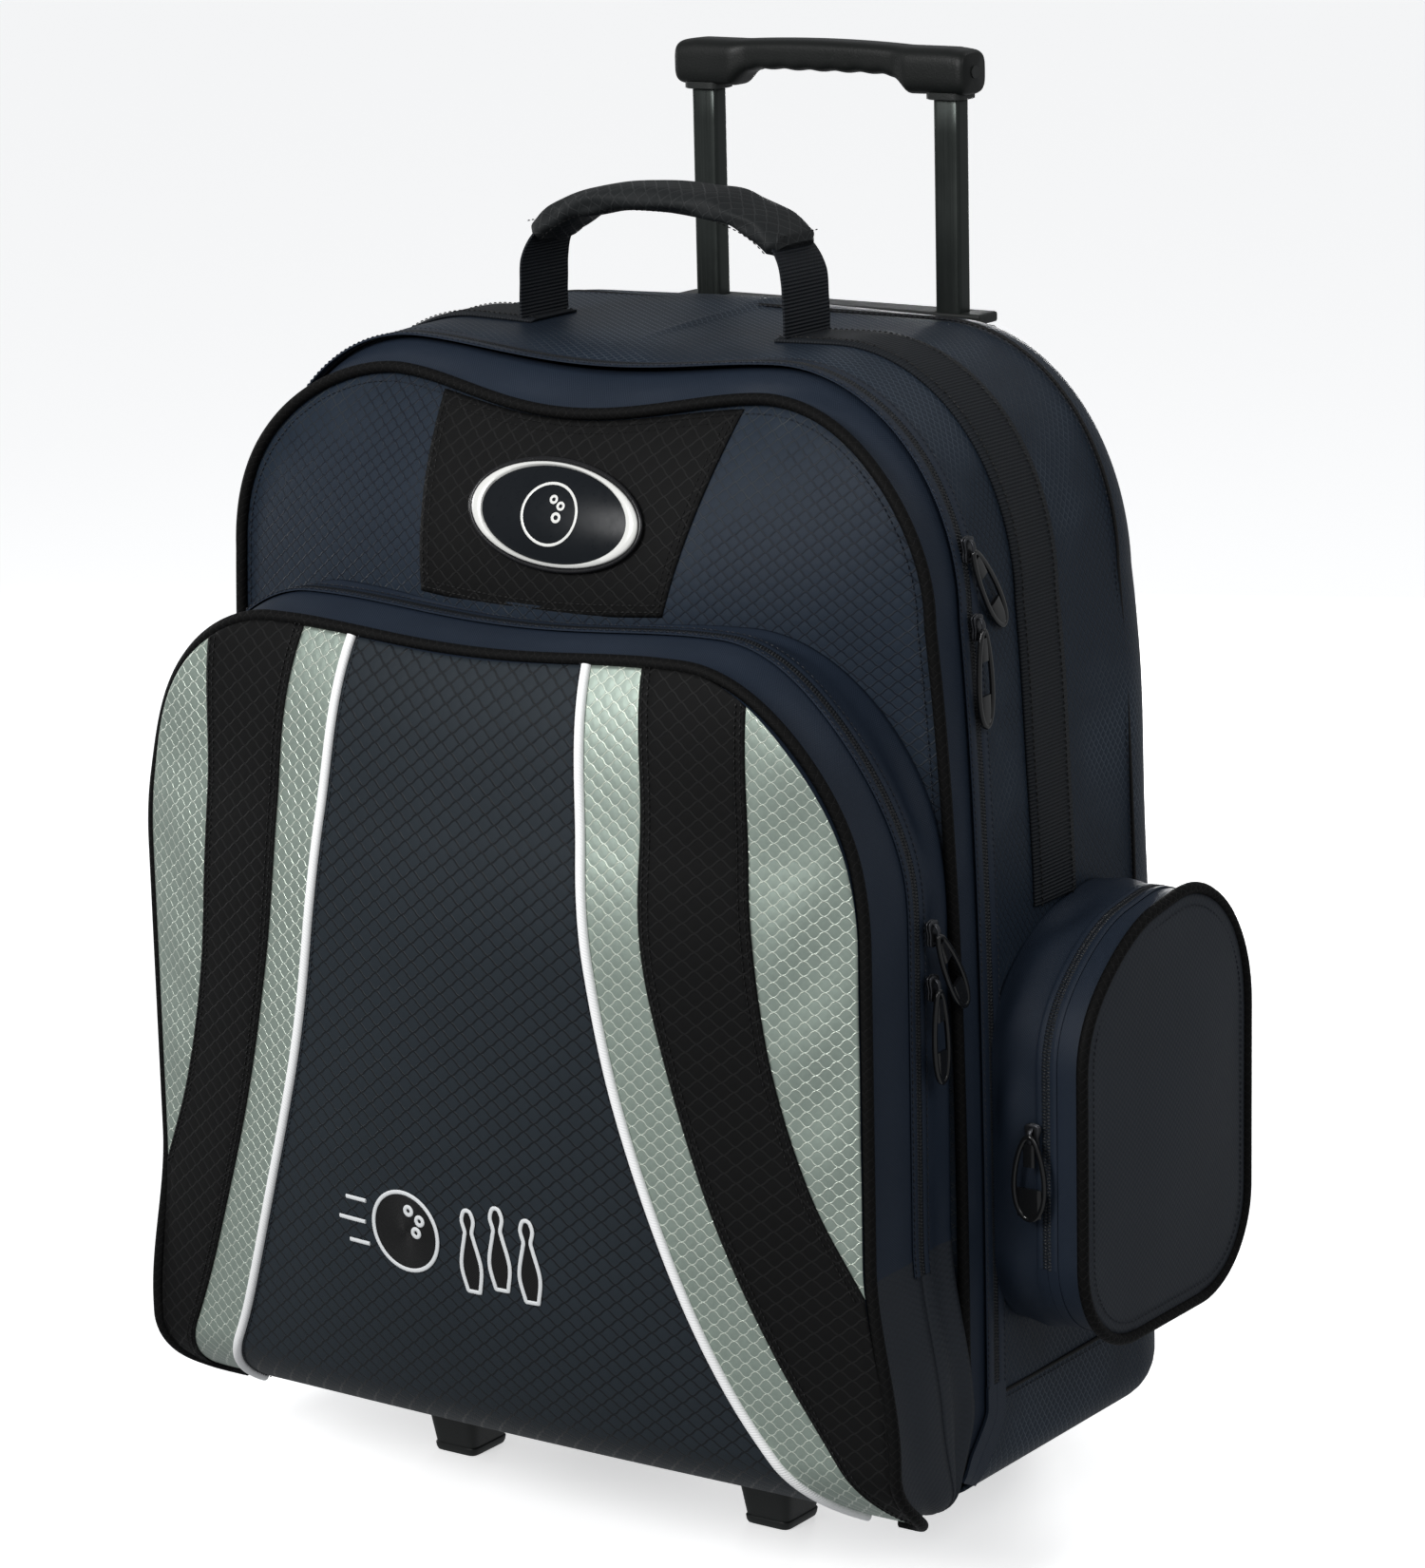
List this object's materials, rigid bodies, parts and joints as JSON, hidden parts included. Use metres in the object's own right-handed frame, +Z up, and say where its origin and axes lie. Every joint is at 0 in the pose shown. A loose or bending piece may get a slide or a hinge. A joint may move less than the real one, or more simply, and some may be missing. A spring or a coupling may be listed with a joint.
{
  "type": "bowling ball bag",
  "caption": "Wheeled upright bowling ball bag with hinged front flap, zipped front and side pockets, carry handle and telescopic trolley handle.",
  "frame": {"origin": "on the floor, at the middle of the bounding box of the closed bag with its handle partly out", "axes": "+Z up the bag, -Y out of its front, +X towards the side pocket"},
  "size_m": [0.5398, 0.3816, 0.759],
  "materials": {
    "navy_ripstop": "coated diamond ripstop nylon, satin",
    "charcoal_ripstop": "coated diamond ripstop nylon, matte",
    "silver_ripstop": "diamond ripstop nylon, bright satin",
    "black_ripstop": "diamond ripstop nylon, matte",
    "lining": "plain woven polyester lining",
    "white_cord": "glossy vinyl piping",
    "black_webbing": "ribbed polypropylene webbing",
    "black_binding": "piping covered in black nylon",
    "foam": "closed-cell foam with a brushed cover",
    "board": "extruded polyethylene sheet",
    "moulded_plastic": "fine-grained moulded nylon",
    "tube_aluminium": "black anodised aluminium tube",
    "guide_tube": "mill-finish aluminium tube",
    "steel": "zinc-plated steel",
    "wheel_rubber": "soft polyurethane tyre",
    "wheel_plastic": "moulded nylon hub",
    "zip_metal": "gunmetal die-cast slider",
    "zip_tape": "nylon coil zip on woven tape",
    "pull_plastic": "glossy black moulded pull",
    "badge_rim": "pale moulded rim",
    "badge_dome": "clear-domed dark plate"
  },
  "bodies": {
    "bag_body": {"main_shell": "navy_ripstop", "base_plate": "board", "ball_cup_left": "foam", "ball_cup_right": "foam", "ball_divider": "foam", "back_board": "board", "front_foot_left": "moulded_plastic", "front_foot_right": "moulded_plastic", "wheel_housing_left": "moulded_plastic", "wheel_housing_right": "moulded_plastic", "axle_left": "steel", "axle_right": "steel", "side_strap_left": "black_webbing", "side_strap_right": "black_webbing", "outer_tube_left": "guide_tube", "outer_tube_right": "guide_tube", "tube_foot_bracket": "moulded_plastic", "trolley_cover": "navy_ripstop", "tube_collar": "moulded_plastic", "side_pocket_gusset": "navy_ripstop"},
    "main_flap": {"flap_panel": "navy_ripstop", "main_piping": "black_binding", "front_patch": "black_ripstop", "badge_plate": "badge_rim", "badge_dome": "badge_dome", "front_pocket_gusset": "navy_ripstop"},
    "front_pocket_lid": {"front_pocket_face": "charcoal_ripstop", "front_pocket_piping": "black_binding"},
    "side_pocket_lid": {"side_pocket_face": "charcoal_ripstop", "side_pocket_piping": "black_binding"},
    "trolley_handle": {"inner_tube_left": "tube_aluminium", "inner_tube_right": "tube_aluminium", "lock_plug_left": "moulded_plastic", "lock_plug_right": "moulded_plastic", "grip_block_left": "moulded_plastic", "grip_block_right": "moulded_plastic", "grip_screw_left": "steel", "grip_screw_right": "steel", "grip_bar": "moulded_plastic"},
    "carry_handle": {"handle_webbing_left": "black_webbing", "handle_webbing_right": "black_webbing", "handle_grip": "black_ripstop"},
    "wheel_left": {"wheel_tyre_left": "wheel_rubber", "wheel_hub_left": "wheel_plastic", "wheel_bearing_left": "steel"},
    "wheel_right": {"wheel_tyre_right": "wheel_rubber", "wheel_hub_right": "wheel_plastic", "wheel_bearing_right": "steel"},
    "main_zip_upper_slider_body": {"main_zip_upper_slider": "zip_metal"},
    "main_zip_upper_pull_body": {"main_zip_upper_pull": "pull_plastic"},
    "main_zip_lower_slider_body": {"main_zip_lower_slider": "zip_metal"},
    "main_zip_lower_pull_body": {"main_zip_lower_pull": "pull_plastic"},
    "front_zip_upper_slider_body": {"front_zip_upper_slider": "zip_metal"},
    "front_zip_upper_pull_body": {"front_zip_upper_pull": "pull_plastic"},
    "front_zip_lower_slider_body": {"front_zip_lower_slider": "zip_metal"},
    "front_zip_lower_pull_body": {"front_zip_lower_pull": "pull_plastic"},
    "side_zip_slider_body": {"side_zip_slider": "zip_metal"},
    "side_zip_pull_body": {"side_zip_pull": "pull_plastic"}
  },
  "joints": [
    {"name": "main_flap_hinge", "type": "hinge", "parent": "bag_body", "child": "main_flap", "pos_m": [-0.02512, -0.06525, 0.0443], "axis": [1, 0, 0], "range_deg": [0, 28]},
    {"name": "front_pocket_hinge", "type": "hinge", "parent": "main_flap", "child": "front_pocket_lid", "pos_m": [-0.02512, -0.08815, 0.0415], "axis": [1, 0, 0], "range_deg": [0, 14]},
    {"name": "side_pocket_hinge", "type": "hinge", "parent": "bag_body", "child": "side_pocket_lid", "pos_m": [0.24188, 0.04325, 0.122], "axis": [0, 1, 0], "range_deg": [0, 40]},
    {"name": "trolley_slide", "type": "slide", "parent": "bag_body", "child": "trolley_handle", "axis": [0, 0, 1], "range_m": [-0.085, 0.27]},
    {"name": "carry_handle_tilt", "type": "hinge", "parent": "bag_body", "child": "carry_handle", "pos_m": [-0.02512, 0.02725, 0.6455], "axis": [1, 0, 0], "range_deg": [-45, 45]},
    {"name": "wheel_left_spin", "type": "hinge", "parent": "bag_body", "child": "wheel_left", "pos_m": [-0.12912, 0.15525, 0.034], "axis": [1, 0, 0], "continuous": true},
    {"name": "wheel_right_spin", "type": "hinge", "parent": "bag_body", "child": "wheel_right", "pos_m": [0.07888, 0.15525, 0.034], "axis": [1, 0, 0], "continuous": true},
    {"name": "main_zip_upper_slide", "type": "slide", "parent": "bag_body", "child": "main_zip_upper_slider_body", "axis": [0.1307, 0, -0.9914], "range_m": [-0.008, 0.008]},
    {"name": "main_zip_upper_pull_swing", "type": "hinge", "parent": "main_zip_upper_slider_body", "child": "main_zip_upper_pull_body", "pos_m": [0.2003, -0.03725, 0.532], "axis": [0, -1, 0], "range_deg": [0, 80]},
    {"name": "main_zip_lower_slide", "type": "slide", "parent": "bag_body", "child": "main_zip_lower_slider_body", "axis": [0.0586, 0, -0.9983], "range_m": [0, 0.13]},
    {"name": "main_zip_lower_pull_swing", "type": "hinge", "parent": "main_zip_lower_slider_body", "child": "main_zip_lower_pull_body", "pos_m": [0.20544, -0.03725, 0.493], "axis": [0, -1, 0], "range_deg": [0, 80]},
    {"name": "front_zip_upper_slide", "type": "slide", "parent": "main_flap", "child": "front_zip_upper_slider_body", "axis": [0, 0, -1], "range_m": [-0.008, 0.008]},
    {"name": "front_zip_upper_pull_swing", "type": "hinge", "parent": "front_zip_upper_slider_body", "child": "front_zip_upper_pull_body", "pos_m": [0.21148, -0.09175, 0.349], "axis": [0, -1, 0], "range_deg": [0, 80]},
    {"name": "front_zip_lower_slide", "type": "slide", "parent": "main_flap", "child": "front_zip_lower_slider_body", "axis": [0, 0, -1], "range_m": [0, 0.14]},
    {"name": "front_zip_lower_pull_swing", "type": "hinge", "parent": "front_zip_lower_slider_body", "child": "front_zip_lower_pull_body", "pos_m": [0.21148, -0.09175, 0.321], "axis": [0, -1, 0], "range_deg": [0, 80]},
    {"name": "side_zip_slide", "type": "slide", "parent": "bag_body", "child": "side_zip_slider_body", "axis": [0, 0, -1], "range_m": [-0.04, 0.045]},
    {"name": "side_zip_pull_swing", "type": "hinge", "parent": "side_zip_slider_body", "child": "side_zip_pull_body", "pos_m": [0.23488, -0.04635, 0.235], "axis": [-1, 0, 0], "range_deg": [0, 80]}
  ]
}
